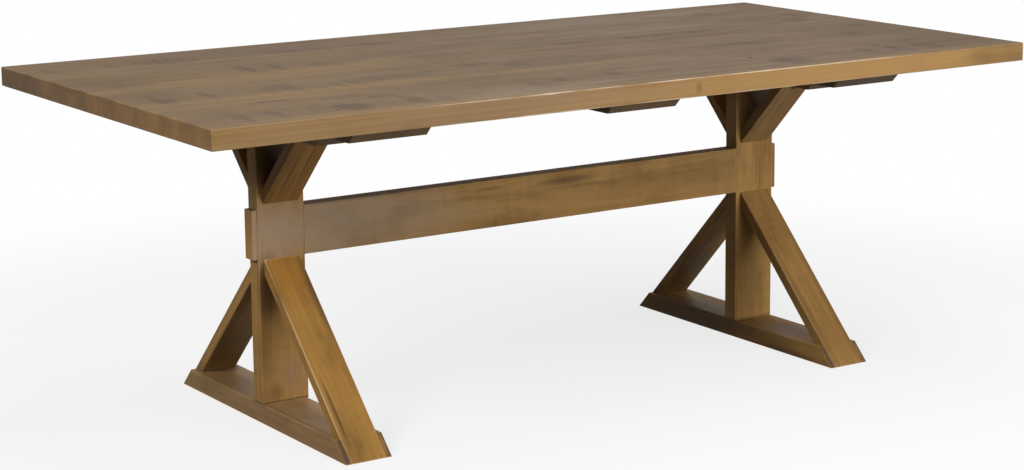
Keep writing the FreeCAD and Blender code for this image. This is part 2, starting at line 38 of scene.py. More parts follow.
# A socket that can stand in a sum, so that masks read as plain arithmetic
class Signal:
    def __init__(self, finish, socket):
        self.finish = finish
        self.socket = socket

    def math(self, operation, *values):
        return self.finish.node("ShaderNodeMath", {"operation": operation}, dict(enumerate(values)))

    def __add__(self, other):
        return self.math("ADD", self, other)

    def __sub__(self, other):
        return self.math("SUBTRACT", self, other)

    def __mul__(self, other):
        return self.math("MULTIPLY", self, other)

    def __rsub__(self, other):
        return self.math("SUBTRACT", other, self)

    def __abs__(self):
        return self.math("ABSOLUTE", self)

    __radd__ = __add__
    __rmul__ = __mul__

    def fraction(self):
        return self.math("FRACT", self)

    def lower(self, other):
        return self.math("MINIMUM", self, other)

    def higher(self, other):
        return self.math("MAXIMUM", self, other)

    # noise is 0.5 on average, and this makes it swing evenly round 0
    def swing(self, reach):
        return (self - 0.5) * reach

    # 0 at start and top at end, eased between them; start may be the larger one
    def ease(self, start, end, top=1.0):
        return self.finish.node("ShaderNodeMapRange", {"interpolation_type": "SMOOTHSTEP"},
                                {"Value": self, "From Min": start, "From Max": end, "To Max": top})


# The shader nodes of a material or of the world, and the few kinds of node that are used often
class Finish:
    def __init__(self, owner, outputKind="ShaderNodeOutputMaterial"):
        owner.use_nodes = True
        self.tree = owner.node_tree
        self.tree.nodes.clear()
        self.output = self.tree.nodes.new(outputKind)

    def node(self, kind, settings, values, output=0):
        made = self.tree.nodes.new(kind)
        for name, setting in settings.items():
            setattr(made, name, setting)
        for name, value in values.items():
            if isinstance(value, Signal):
                self.tree.links.new(value.socket, made.inputs[name])
            else:
                made.inputs[name].default_value = value
        return Signal(self, made.outputs[output])

    # a Mix node takes its two colours at 6 and 7, and gives the mixed one at 2
    def mix(self, share, first, second):
        return self.node("ShaderNodeMix", {"data_type": "RGBA"},
                         {0: share, 6: first, 7: second}, output=2)

    def vector(self, operation, first, second=(0.0, 0.0, 0.0), output="Vector"):
        return self.node("ShaderNodeVectorMath", {"operation": operation},
                         {0: first, 1: second}, output)

    # how far a point is from a place, in parts of a size that is given as 1 over it each way
    def distance(self, point, place, perSize):
        offset = self.vector("MULTIPLY", self.vector("SUBTRACT", point, place), perSize)
        return self.vector("LENGTH", offset, output="Value")

    def noise(self, place, scale, detail=2.0, roughness=0.5):
        values = {"Vector": place, "Scale": scale, "Detail": detail, "Roughness": roughness}
        return self.node("ShaderNodeTexNoise", {"noise_dimensions": "3D"}, values)

    # noise with a scale of its own along, across and through a board
    def figure(self, place, scales, detail=2.0, roughness=0.5):
        return self.noise(self.vector("MULTIPLY", place, scales), 1.0, detail, roughness)

    def surface(self, kind, values):
        shader = self.node(kind, {}, values)
        self.tree.links.new(shader.socket, self.output.inputs["Surface"])


def dress(name, material):
    piece = nodes[name]
    piece.data.materials.clear()
    piece.data.materials.append(material)


def boxMiddle(name):
    low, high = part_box(name)
    return (low + high) / 2, (high - low) / 2


# Stained wood. The grain runs along one direction of the frame, and the figure is cut from
# growth rings round a heart line beside the board, so that faces and ends agree.
# A mark is a soft-edged spot of stain, painted shade or painted light: where it is on the board, in
# metres along, across and through it from the middle, its half sizes, its colour and its strength.
woodDefaults = {
    "light": paint(178, 137, 76),
    "middle": paint(161, 120, 64),
    "dark": paint(98, 69, 38),
    "streakShare": 0.70,
    "mottleShare": 0.36,
    "curlShare": 0.07,
    "mineralShare": 0.42,
    "fibreShare": 0.12,
    "seedMoves": (1.0, 0.37, 0.19),  # how far a seed moves the figure, along, across and through
    # rings, and the heart line's place beside the board, across and through it
    "ringSpacing": 0.013,
    "ringShare": 0.10,
    "ringWander": 0.06,
    "ringDarkens": (0.1, 0.9),
    "ringEnds": (1.0, 0.9),
    "heart": (0.16, 0.09),
    "heartSwing": (0.05, 0.04),
    "heartTurn": 1.7,
    # end grain
    "end": paint(94, 75, 60),
    "endFacing": (0.45, 0.65),
    "endRingShare": 0.26,
    "endMottleShare": 0.30,
    "endMottleShows": (0.35, 0.7),
    "endFibreShare": 0.2,
    # how wavy a mark's outline is, and where it fades, in its half sizes
    "marks": (),
    "markWander": 0.7,
    "markMottle": 0.9,
    "markFades": (1.2, 0.2),
    # worn arrises; the rim's offset is from the board's middle to that of the rim it is part of
    "rub": paint(190, 152, 102),
    "rubWidth": 0.0020,
    "rubShare": 0.60,
    "rubMottle": 2.5,
    "rubFades": (1.2, 0.2),
    "rimOffset": (0.0, 0.0, 0.0),
    # sheen and relief
    "roughness": 0.66,
    "roughnessStreak": 0.14,
    "roughnessMottle": 0.10,
    "specular": 0.18,
    "reliefFibre": 0.4,
    "reliefRing": 0.5,
    "reliefStreak": 0.6,
    "reliefStrength": 0.2,
    "reliefDepth": 0.0005,
}
# the noises of the figure: their scales along, across and through the board, their detail and
# roughness, and the values between which they come in
figures = {
    "wander": {"scales": (2.2, 11.0, 11.0), "detail": 2.0, "roughness": 0.5},
    "streak": {"scales": (1.3, 42.0, 42.0), "detail": 4.0, "roughness": 0.6,
               "shows": (0.30, 0.70)},
    "mottle": {"scales": (7.0, 17.0, 17.0), "detail": 3.0, "roughness": 0.55,
               "shows": (0.40, 0.75)},
    "curl": {"scales": (64.0, 7.0, 7.0), "detail": 1.0, "roughness": 0.5,
             "shows": (0.40, 0.72)},
    "mineral": {"scales": (3.4, 52.0, 52.0), "detail": 3.0, "roughness": 0.55,
                "shows": (0.62, 0.78)},
    "fibre": {"scales": (16.0, 480.0, 480.0), "detail": 2.0, "roughness": 0.5,
              "shows": (0.40, 0.75)},
}
offGrain = (0.0, 1.0, 1.0)  # leaves out the length along the grain


def woodBoard(finish, grain, across, centre, seed, values):
    through = Vector(grain).cross(Vector(across))
    axes = (tuple(grain), tuple(across), tuple(through))
    position = finish.node("ShaderNodeTexCoord", {}, {}, output="Object")
    local = finish.vector("SUBTRACT", position, tuple(centre))
    lengths = [finish.vector("DOT_PRODUCT", local, axis, output="Value") for axis in axes]
    board = finish.node("ShaderNodeCombineXYZ", {}, dict(enumerate(lengths)))
    grown = finish.vector("ADD", board, tuple(seed * share for share in values["seedMoves"]))
    facing = finish.node("ShaderNodeTexCoord", {}, {}, output="Normal")
    facingAlong = abs(finish.vector("DOT_PRODUCT", facing, axes[0], output="Value"))
    return lengths, board, grown, facingAlong.ease(*values["endFacing"])


def growthRings(finish, board, wander, seed, values):
    swings = (math.sin(seed), math.cos(seed * values["heartTurn"]))
    beside = [place + swing * reach for place, swing, reach
              in zip(values["heart"], swings, values["heartSwing"])]
    toHeart = finish.vector("ADD", board, (0.0, *beside))
    radius = finish.vector("LENGTH", finish.vector("MULTIPLY", toHeart, offGrain), output="Value")
    ring = ((radius + wander.swing(values["ringWander"])) * (1 / values["ringSpacing"])).fraction()
    return ring.ease(*values["ringDarkens"]) * ring.ease(*values["ringEnds"])


def stainWood(name, grain, across, centre, half, seed, look):
    values = {**woodDefaults, **look}
    material = bpy.data.materials.new(name + "_stain")
    finish = Finish(material)
    lengths, board, grown, endOn = woodBoard(finish, grain, across, centre, seed, values)
    noises = {part: finish.figure(grown, kind["scales"], kind["detail"], kind["roughness"])
              for part, kind in figures.items()}
    wander, streak = noises["wander"], noises["streak"]
    mottle, fibre = noises["mottle"], noises["fibre"]
    ring = growthRings(finish, board, wander, seed, values)

    def shadeOf(part):
        return noises[part].ease(*figures[part]["shows"]) * values[part + "Share"]

    colour = finish.mix(shadeOf("streak"), values["light"], values["middle"])
    shade = shadeOf("mottle") + ring * values["ringShare"]
    shade = shade + shadeOf("curl") + shadeOf("fibre") + shadeOf("mineral")
    colour = finish.mix(shade, colour, values["dark"])

    # end grain takes more stain, and shows the rings more plainly
    endMottle = mottle.ease(*values["endMottleShows"]) * values["endMottleShare"]
    endShade = ring * values["endRingShare"] + endMottle + fibre * values["endFibreShare"]
    colour = finish.mix(endOn, colour, finish.mix(endShade, values["end"], values["dark"]))

    if "surfacing" in values:
        colour = values["surfacing"](finish, colour, lengths, board, grown, endOn)

    for place, size, tint, strength in values["marks"]:
        reach = finish.distance(board, place, tuple(1 / side for side in size))
        reach = reach + wander.swing(values["markWander"]) + mottle.swing(values["markMottle"])
        colour = finish.mix(reach.ease(*values["markFades"], strength), colour, tint)

    # the stain is rubbed thin along the arrises; the middle one of the three gaps between a
    # point and the board's sides is its distance from the nearest arris
    gaps = [side - abs(length - shift) for side, length, shift
            in zip(half, lengths, values["rimOffset"])]
    arris = gaps[0].lower(gaps[1]).higher(gaps[0].higher(gaps[1]).lower(gaps[2]))
    width = values["rubWidth"]
    wavy = arris + mottle.swing(width) * values["rubMottle"]
    worn = wavy.ease(*(width * share for share in values["rubFades"]))
    rub = values["rub"]
    # where a look asks for it, part of an arris is painted paler still: a painted highlight
    if "paintedHighlight" in values:
        pale = values["paintedHighlight"]
        reach = lengths[pale["axis"]]
        paleShare = reach.ease(*pale["begins"]) * reach.ease(*pale["fades"])
        rub = finish.mix(paleShare, rub, pale["tint"])
    colour = finish.mix(worn * values["rubShare"], colour, rub)

    roughness = values["roughness"] + streak.swing(values["roughnessStreak"])
    roughness = roughness + mottle.swing(values["roughnessMottle"])
    height = fibre * values["reliefFibre"] + ring * values["reliefRing"]
    height = height + streak * values["reliefStreak"]
    bump = finish.node("ShaderNodeBump", {}, {"Strength": values["reliefStrength"],
                                              "Distance": values["reliefDepth"], "Height": height})
    finish.surface("ShaderNodeBsdfPrincipled", {"Base Color": colour, "Roughness": roughness,
                                                "Specular IOR Level": values["specular"],
                                                "Normal": bump})
    dress(name, material)


# The top: four planks. Each has saw marks across the grain in groups, most of them on its nearer
# half: the group's place along the plank and across it, its half sizes and its strength.
sawGroups = {
    "top_plank_far": [(-1.01, -0.045, 0.020, 0.045, 0.5), (-0.87, -0.045, 0.020, 0.040, 0.4),
                      (-0.72, -0.040, 0.075, 0.050, 0.8), (-0.38, -0.055, 0.100, 0.030, 0.9),
                      (-0.19, -0.058, 0.070, 0.026, 0.9), (0.41, -0.055, 0.075, 0.024, 0.9),
                      (0.65, -0.045, 0.045, 0.030, 0.8), (0.80, -0.045, 0.040, 0.030, 0.7)],
    "top_plank_mid_far": [(-0.64, -0.010, 0.018, 0.060, 1.0), (-0.57, -0.020, 0.018, 0.060, 1.0),
                          (-0.46, -0.060, 0.060, 0.040, 0.7), (-0.20, -0.062, 0.090, 0.030, 0.6),
                          (-0.96, -0.096, 0.070, 0.018, 0.9), (-0.83, -0.082, 0.070, 0.012, 0.7),
                          (0.20, -0.085, 0.060, 0.024, 1.0), (0.48, -0.085, 0.200, 0.022, 0.9),
                          (0.82, -0.080, 0.030, 0.025, 0.6), (0.92, -0.050, 0.050, 0.040, 0.9),
                          (0.99, 0.020, 0.030, 0.040, 0.6)],
    "top_plank_mid_near": [(-0.99, -0.045, 0.024, 0.070, 1.0), (-0.88, -0.045, 0.018, 0.060, 0.6),
                           (-0.71, -0.030, 0.045, 0.055, 0.5), (-0.46, -0.030, 0.120, 0.045, 0.8),
                           (-0.33, -0.014, 0.040, 0.020, 0.7), (-0.20, 0.020, 0.060, 0.035, 0.8),
                           (-0.12, -0.035, 0.040, 0.035, 0.9), (0.07, -0.040, 0.110, 0.045, 0.4),
                           (0.48, -0.055, 0.140, 0.032, 0.8), (0.62, -0.020, 0.030, 0.050, 0.5),
                           (0.97, 0.050, 0.035, 0.030, 0.8), (0.86, -0.060, 0.030, 0.030, 0.6)],
    "top_plank_near": [(-0.96, -0.045, 0.018, 0.080, 0.8), (-0.88, -0.055, 0.018, 0.060, 0.7),
                       (-0.71, -0.060, 0.045, 0.050, 1.2), (-0.66, 0.060, 0.070, 0.025, 0.5),
                       (-0.80, 0.096, 0.060, 0.010, 0.7), (-0.56, -0.055, 0.028, 0.060, 0.9),
                       (-0.50, -0.085, 0.022, 0.035, 0.8), (-0.60, 0.030, 0.050, 0.018, 0.5),
                       (-0.23, -0.035, 0.040, 0.045, 0.7), (-0.17, 0.000, 0.022, 0.020, 0.8),
                       (-0.02, 0.010, 0.028, 0.035, 0.7), (0.08, -0.020, 0.060, 0.020, 0.4),
                       (0.43, -0.050, 0.060, 0.060, 1.1), (0.67, -0.035, 0.025, 0.045, 0.7),
                       (0.76, -0.045, 0.030, 0.060, 0.8), (0.85, -0.040, 0.030, 0.060, 0.8),
                       (0.87, 0.050, 0.030, 0.030, 0.8), (0.74, 0.030, 0.025, 0.030, 0.7)],
}
# golden bands where less of the glaze stayed, along the seams and the near edge
paleBands = {
    "top_plank_far": [(-0.75, -0.098, 0.42, 0.030, 0.22)],
    "top_plank_mid_far": [(-0.55, -0.112, 0.46, 0.044, 0.50), (-0.10, -0.125, 0.50, 0.026, 0.26)],
    "top_plank_mid_near": [(-0.62, -0.124, 0.42, 0.038, 0.58), (-0.22, -0.130, 0.34, 0.028, 0.42),
                           (-0.72, 0.118, 0.45, 0.046, 0.42)],
    "top_plank_near": [(-0.42, -0.134, 0.60, 0.030, 0.50), (-0.80, 0.128, 0.30, 0.030, 0.26),
                       (0.60, -0.136, 0.70, 0.022, 0.42)],
}
topLook = {
    # painted sheen: the top's stain is written greyer than the frame's, in place of the grey shine
    # of its finish
    "light": paint(133, 112, 88),
    "middle": paint(116, 96, 76),
    "dark": paint(82, 67, 52),
    "mottleShare": 0.22,
    "mineralShare": 0.20,
    "fibreShare": 0.10,
    "endRingShare": 0.11,
    "rub": paint(154, 126, 88),
    "rubWidth": 0.0021,
    "rubShare": 0.75,
    "roughness": 0.68,
    "specular": 0.16,
}
# what lies over the planks' own figure, in the order in which it is laid on
topCoats = {
    "warm": {"colour": paint(128, 103, 70), "share": 0.55, "reach": (0.25, -0.95)},
    "patch": {"colour": paint(108, 87, 70), "share": 0.34, "scales": (2.6, 8.0, 0.0),
              "shows": (0.48, 0.66)},
    "band": {"colour": paint(156, 125, 84), "warp": (3.0, 40.0, 0.0), "swing": 2.0,
             "softness": 0.75},
    "saw": {"stain": paint(86, 69, 56), "stainShare": 0.48,
            "lines": paint(62, 48, 38), "lineShare": 0.80,
            "scales": (118.0, 6.0, 0.0), "shows": (0.53, 0.61),
            "warp": (9.0, 30.0, 0.0), "swing": 1.2, "softness": 0.45,
            "elsewhere": 0.26, "elsewhereShows": (0.44, 0.60)},
    "edge": {"light": paint(167, 133, 87), "middle": paint(145, 111, 68),
             "grainScales": (1.6, 0.0, 90.0), "grainShows": (0.3, 0.7),
             "dark": paint(112, 82, 48), "darkShare": 0.35,
             "cloudScales": (11.0, 0.0, 14.0), "cloudShows": (0.45, 0.8),
             "pale": paint(190, 147, 90), "paleShare": 0.6,
             "paleBegins": (-0.5, 0.45), "paleFades": (1.05, 0.85),
             "levelFaces": (0.5, 0.8)},
}
upperFace = 0.0215  # a plank is 43 mm thick
nearEdge = -0.1485  # the near plank is 297 mm wide
plankLooks = {
    "top_plank_far": {
        "end": paint(120, 94, 68),
        "marks": [((-0.52, 0.02, upperFace), (0.34, 0.10, 0.02), paint(104, 88, 72), 0.34),
                  # painted sheen: a paler, greyer patch over the right half
                  ((0.50, 0.00, upperFace), (0.40, 0.12, 0.02), paint(150, 134, 116), 0.40)],
    },
    "top_plank_mid_far": {
        "end": paint(137, 107, 74),
        "marks": [((-0.99, -0.07, upperFace), (0.15, 0.12, 0.02), paint(94, 77, 55), 0.52),
                  ((0.05, -0.10, upperFace), (0.50, 0.05, 0.02), paint(104, 88, 72), 0.25),
                  # painted sheen: a paler, greyer patch over the right part
                  ((0.45, 0.03, upperFace), (0.35, 0.08, 0.02), paint(150, 132, 114), 0.30)],
    },
    "top_plank_mid_near": {
        "end": paint(143, 110, 74),
        "marks": [((0.99, 0.00, upperFace), (0.20, 0.16, 0.02), paint(98, 82, 64), 0.34),
                  ((-0.98, 0.01, upperFace), (0.10, 0.14, 0.02), paint(100, 83, 60), 0.46)],
    },
    "top_plank_near": {
        "end": paint(150, 114, 72),
        "rubWidth": 0.0025,
        "rubShare": 0.86,
        # painted highlight: the arris is painted paler over the left half, and fades to the right
        "paintedHighlight": {"axis": 0, "begins": (-0.62, -0.40), "fades": (0.85, 0.35),
                    "tint": paint(230, 207, 178)},
        "marks": [((1.00, 0.02, upperFace), (0.22, 0.16, 0.02), paint(95, 76, 52), 0.56),
                  ((-0.98, 0.03, upperFace), (0.09, 0.10, 0.02), paint(104, 86, 62), 0.30),
                  ((-0.40, nearEdge, 0.0), (0.60, 0.03, 0.04), paint(158, 134, 112), 0.26),
                  # a paler, greyer strip along the near arris, left of the middle: wear, with a
                  # painted sheen over it
                  ((-0.30, -0.09, upperFace), (0.30, 0.07, 0.02), paint(160, 142, 120), 0.35),
                  # knots, one on the face and two on the edge
                  ((0.377, 0.032, upperFace), (0.008, 0.012, 0.01), paint(40, 30, 22), 0.95),
                  ((0.094, nearEdge, 0.0), (0.012, 0.02, 0.020), paint(112, 80, 46), 0.50),
                  ((0.93, nearEdge, 0.0), (0.060, 0.02, 0.03), paint(118, 86, 50), 0.40)],
    },
}
plankSeeds = {"top_plank_far": 3.3, "top_plank_mid_far": 5.1,
              "top_plank_mid_near": 7.7, "top_plank_near": 12.4}
spotEdge = 0.8  # where a spot has half its strength, in its half sizes


# Soft spots on a plank's face; where two overlap, the stronger one counts
def spots(finish, board, places, warp, softness):
    total = None
    for x, y, halfX, halfY, strength in places:
        reach = finish.distance(board, (x, y, 0.0), (1 / halfX, 1 / halfY, 0.0)) + warp
        spot = reach.ease(spotEdge + softness, spotEdge - softness, strength)
        total = spot if total is None else total.higher(spot)
    return total


# The long edge was planed after the saw marks were made, and took the stain evenly
def planedEdge(finish, along, grown):
    edge = topCoats["edge"]
    grainy = finish.figure(grown, edge["grainScales"], detail=4.0, roughness=0.6)
    cloudy = finish.figure(grown, edge["cloudScales"], detail=3.0)
    colour = finish.mix(grainy.ease(*edge["grainShows"]), edge["light"], edge["middle"])
    colour = finish.mix(cloudy.ease(*edge["cloudShows"]) * edge["darkShare"], colour, edge["dark"])
    pale = along.ease(*edge["paleBegins"]) * along.ease(*edge["paleFades"]) * edge["paleShare"]
    return finish.mix(pale, colour, edge["pale"])


def surfacePlank(name):
    def surfacing(finish, colour, lengths, board, grown, endOn):
        warm, patch, band, saw = (topCoats[coat] for coat in ("warm", "patch", "band", "saw"))
        along = lengths[0]
        offEnds = 1 - endOn
        left = along.ease(*warm["reach"], warm["share"]) * offEnds
        colour = finish.mix(left, colour, warm["colour"])
        cloudy = finish.figure(grown, patch["scales"], detail=3.0)
        patches = cloudy.ease(*patch["shows"], patch["share"]) * offEnds
        colour = finish.mix(patches, colour, patch["colour"])
        warp = finish.figure(grown, band["warp"], detail=3.0).swing(band["swing"])
        bands = spots(finish, board, paleBands[name], warp, band["softness"]) * offEnds
        colour = finish.mix(bands, colour, band["colour"])
        # saw marks: stain in the groups, and lines in them and fainter in the patches elsewhere
        warp = finish.figure(grown, saw["warp"], detail=3.0).swing(saw["swing"])
        grouped = spots(finish, board, sawGroups[name], warp, saw["softness"]) * offEnds
        colour = finish.mix(grouped * saw["stainShare"], colour, saw["stain"])
        lines = finish.figure(grown, saw["scales"], detail=3.0, roughness=0.6).ease(*saw["shows"])
        faint = cloudy.ease(*saw["elsewhereShows"], saw["elsewhere"]) * offEnds
        colour = finish.mix((grouped * saw["lineShare"] + faint) * lines, colour, saw["lines"])
        facing = finish.node("ShaderNodeTexCoord", {}, {}, output="Normal")
        level = abs(finish.vector("DOT_PRODUCT", facing, alongZ, output="Value"))
        longEdge = (1 - level.ease(*topCoats["edge"]["levelFaces"])) * offEnds
        return finish.mix(longEdge, colour, planedEdge(finish, along, grown))
    return surfacing


# the planks are rubbed along the rim of the whole top, and not along its seams
topLow = Vector([min(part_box(name)[0][i] for name in plankSeeds) for i in range(3)])
topHigh = Vector([max(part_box(name)[1][i] for name in plankSeeds) for i in range(3)])
for name, seed in plankSeeds.items():
    centre = boxMiddle(name)[0]
    rimOffset = tuple((topLow + topHigh) / 2 - centre)
    look = {**topLook, **plankLooks[name], "surfacing": surfacePlank(name), "rimOffset": rimOffset}
    stainWood(name, alongX, alongY, centre, (topHigh - topLow) / 2, seed, look)
print("top finished")

# The frame: battens, rails and feet lie across, posts and caps stand, and one stretcher
# the second colour serves for dark smudges and streaks in the stain, and on the far lower braces
# for painted shade near the floor
veil, smudgeAndPaintedShade, gold = paint(176, 150, 124), paint(78, 58, 40), paint(170, 130, 72)
# a near-black brown: painted shade in the crooks and hollows between parts, and dark joint lines
# where the posts meet their feet
paintedShadeAndJointStain = paint(40, 26, 15)
# faces that carry marks, from their boards' middles
nearFace = -0.021  # of the posts and the stretcher, which are 42 mm thick
stretcherTop = 0.0555
postLeft, postFoot = -0.057, -0.308
footTop, footLeft = -0.0215, -0.055
# the feet's near ends took less stain in the narrow strip to the right of the brace
ear = ((-0.37, 0.0470, 0.0), (0.06, 0.0055, 0.04), paint(158, 118, 66), 0.80)
# painted shade: the battens are written darker and greyer than the rest of the frame, as they lie
# in the shade under the top
shadedBattenLook = {
    "light": paint(132, 107, 78),
    "middle": paint(116, 93, 64),
    "dark": paint(72, 56, 40),
    "end": paint(121, 98, 67),
    "rub": paint(142, 116, 86),
}
frameLooks = {
    "left_batten": shadedBattenLook,
    "middle_batten": shadedBattenLook,
    "right_batten": {**shadedBattenLook, "end": paint(96, 81, 62)},
    "stretcher": {
        "light": paint(184, 143, 82),
        "middle": paint(167, 126, 70),
        "curlShare": 0.10,
        "mottleShare": 0.40,
        "marks": [((-0.58, nearFace, 0.01), (0.40, 0.022, 0.12), paint(168, 146, 122), 0.74),
                  ((-0.37, 0.0, -0.010), (0.034, 1.0, 0.040), smudgeAndPaintedShade, 0.15),
                  ((-0.33, 0.0, 0.018), (0.050, 1.0, 0.024), smudgeAndPaintedShade, 0.18),
                  ((0.095, 0.0, 0.033), (0.085, 1.0, 0.012), smudgeAndPaintedShade, 0.62),
                  ((0.15, 0.0, 0.016), (0.10, 1.0, 0.006), smudgeAndPaintedShade, 0.22),
                  ((0.32, 0.0, -0.01), (0.32, 1.0, 0.03), gold, 0.42),
                  ((0.53, 0.0, 0.02), (0.12, 1.0, 0.05), smudgeAndPaintedShade, 0.22),
                  # darker over the left part of its top
                  ((-0.42, 0.0, stretcherTop), (0.30, 0.1, 0.006), smudgeAndPaintedShade, 0.50)],
    },
    "left_post": {
        "marks": [((0.075, 0.0, nearFace), (0.085, 0.2, 0.01), veil, 0.82),
                  # painted shade in the hollow between the post, the upper brace and the rail
                  ((0.26, 0.0, nearFace), (0.090, 0.08, 0.014), paintedShadeAndJointStain, 0.90),
                  ((-0.25, 0.02, nearFace), (0.050, 0.030, 0.01), paint(150, 118, 92), 0.55),
                  ((-0.285, -0.022, nearFace), (0.028, 0.020, 0.01), smudgeAndPaintedShade, 0.42),
                  # painted shade in the crook between the post and the near lower brace
                  ((-0.045, -0.034, nearFace), (0.085, 0.036, 0.014), paintedShadeAndJointStain, 0.72),
                  ((postFoot, 0.0, 0.0), (0.006, 1.0, 1.0), paintedShadeAndJointStain, 0.80)],
    },
    "right_post": {
        "light": paint(186, 145, 82),
        "middle": paint(169, 128, 69),
        # painted shade in the hollow between the post, the upper brace and the rail
        "marks": [((0.26, 0.032, nearFace), (0.090, 0.062, 0.014), paintedShadeAndJointStain, 0.92),
                  # painted light: the near face is lightened low down, where the lower brace's
                  # shadow falls
                  ((-0.15, 0.0, nearFace), (0.080, 0.08, 0.012), paint(206, 162, 92), 0.40),
                  # painted light: the upper part of the left side is lightened, though it stands in
                  # shade
                  ((0.21, postLeft, 0.0), (0.10, 0.006, 0.1), paint(230, 186, 128), 0.60),
                  ((postFoot, 0.0, 0.0), (0.005, 1.0, 1.0), paintedShadeAndJointStain, 0.55)],
    },
    "left_stretcher_cap": {
        "light": paint(192, 150, 90),
        "middle": paint(176, 135, 80),
        "marks": [((0.0, 0.0, -0.018), (0.08, 0.1, 0.006), veil, 0.75)],
    },
    "left_foot": {
        "light": paint(169, 135, 91),
        "middle": paint(151, 119, 79),
        "marks": [ear,
                  # painted shadow of the post on the top, on its far side
                  ((0.20, -0.02, footTop), (0.14, 0.06, 0.012), paint(98, 66, 30), 0.50),
                  # painted shade in the crook where the far lower brace meets the top
                  ((0.34, 0.010, footTop), (0.060, 0.045, 0.010), paintedShadeAndJointStain, 0.50)],
    },
    "right_foot": {
        "marks": [ear,
                  # painted shade on the left side, in the shade under the table: low on the near
                  # half, and the whole far half
                  ((-0.22, footLeft, 0.018), (0.14, 0.03, 0.011), paint(62, 44, 26), 0.60),
                  ((0.18, footLeft, 0.0), (0.36, 0.05, 0.10), paint(52, 34, 21), 0.86),
                  # painted sheen: a greyer, paler patch on the top's near half
                  ((-0.18, 0.0, footTop), (0.09, 0.07, 0.01), paint(140, 128, 118), 0.60)],
    },
}
boards = {
    alongY: ["left_batten", "middle_batten", "right_batten"],
    alongZ: [],
    alongX: ["stretcher"],
}
for side in ("left", "right"):
    boards[alongY] += [side + "_top_rail", side + "_foot"]
    boards[alongZ] += [side + "_post", side + "_stretcher_cap"]
seed, seedStep = 20.0, 2.7
for grain, names in boards.items():
    across = alongX if grain != alongX else alongY
    order = [Vector(grain), Vector(across), Vector(grain).cross(Vector(across))]
    for name in names:
        seed += seedStep
        centre, half = boxMiddle(name)
        sizes = [abs(axis.dot(half)) for axis in order]
        stainWood(name, grain, across, centre, sizes, seed, frameLooks.get(name, {}))

# The braces stand at 45 degrees between post, foot and rail. Their grain is taken outward from
# the post, up or down.
braceThickness = 0.025
braceLeft = -0.0435  # a brace is 87 mm wide
vein = paint(84, 58, 32)
# painted shade on the far lower braces: the inner face is darkened over its lower part, and the
# left side towards the floor
farLowerShadedLook = {
    "marks": [((0.08, 0.0, braceThickness / 2), (0.20, 0.1, 0.006), paintedShadeAndJointStain, 0.70),
              ((0.20, braceLeft, 0.0), (0.07, 0.010, 0.1), smudgeAndPaintedShade, 0.48)],
}
braceLooks = {
    "left_far_lower_brace": farLowerShadedLook,
    "right_far_lower_brace": farLowerShadedLook,
    "left_near_lower_brace": {
        "light": paint(178, 133, 67),
        "middle": paint(157, 113, 54),
        "mottleShare": 0.50,
        "rubShare": 0.70,
        # painted highlight: the left arris is painted paler, all the way down
        "paintedHighlight": {"axis": 1, "begins": (-0.030, -0.040), "fades": (-0.2, -0.1),
                    "tint": paint(216, 188, 150)},
        "marks": [((-0.21, 0.0, 0.0), (0.080, 0.05, 0.1), paint(170, 117, 46), 0.62),
                  ((0.14, -0.030, 0.0), (0.085, 0.005, 0.1), smudgeAndPaintedShade, 0.70),
                  ((0.20, -0.015, 0.0), (0.080, 0.030, 0.1), smudgeAndPaintedShade, 0.16),
                  ((-0.17, 0.040, 0.0), (0.130, 0.013, 0.1), smudgeAndPaintedShade, 0.62)],
    },
    "left_near_upper_brace": {
        "light": paint(158, 115, 60),
        "middle": paint(130, 94, 48),
        "mineralShare": 0.80,
        "streakShare": 0.95,
        "marks": [((0.00, -0.014, 0.0), (0.100, 0.0050, 0.1), vein, 0.60),
                  ((0.03, 0.016, 0.0), (0.090, 0.0045, 0.1), vein, 0.55),
                  ((-0.05, 0.002, 0.0), (0.050, 0.0040, 0.1), vein, 0.45)],
    },
    "right_near_lower_brace": {
        "rub": paint(176, 140, 104),
        "marks": [((0.17, 0.0, 0.0), (0.18, 0.1, 0.1), paint(116, 84, 44), 0.38),
                  ((0.10, -0.032, 0.0), (0.22, 0.010, 0.1), paint(92, 66, 38), 0.42),
                  ((0.04, 0.036, 0.0), (0.26, 0.009, 0.1), paint(104, 72, 38), 0.42)],
    },
    "right_near_upper_brace": {
        "light": paint(158, 123, 72),
        "middle": paint(144, 110, 62),
    },
}
for side in ("left", "right"):
    for way, sign in (("far", 1), ("near", -1)):
        for level, rise in (("lower", -1), ("upper", 1)):
            name = f"{side}_{way}_{level}_brace"
            seed += seedStep
            centre, half = boxMiddle(name)
            grain = Vector((0, sign, rise)).normalized()
            inward = Vector((0, -sign, rise)).normalized()
            middle = centre + inward * braceThickness / 2
            sizes = (half.y * math.sqrt(2), half.x, braceThickness / 2)
            stainWood(name, grain, alongX, middle, sizes, seed, braceLooks.get(name, {}))
print("frame finished")

# Metal and dowels, nearly all of them out of sight. Each is clouded between two colours.
hardware = {
    # painted shade: the zinc is written a dark, dull brown, so that the bolt heads under the top
    # read as shade
    "zinc": {"colour": (88, 76, 55), "dull": (66, 56, 41),
             "metallic": 1.0, "roughness": 0.62, "scale": 260.0},
    "brass": {"colour": (176, 146, 84), "dull": (132, 104, 58),
              "metallic": 1.0, "roughness": 0.34, "scale": 260.0},
    "beech": {"colour": (190, 154, 112), "dull": (158, 122, 84),
              "metallic": 0.0, "roughness": 0.6, "scale": 90.0},
}
clouding = {"detail": 4.0, "shows": (0.3, 0.7), "roughness": 0.2}


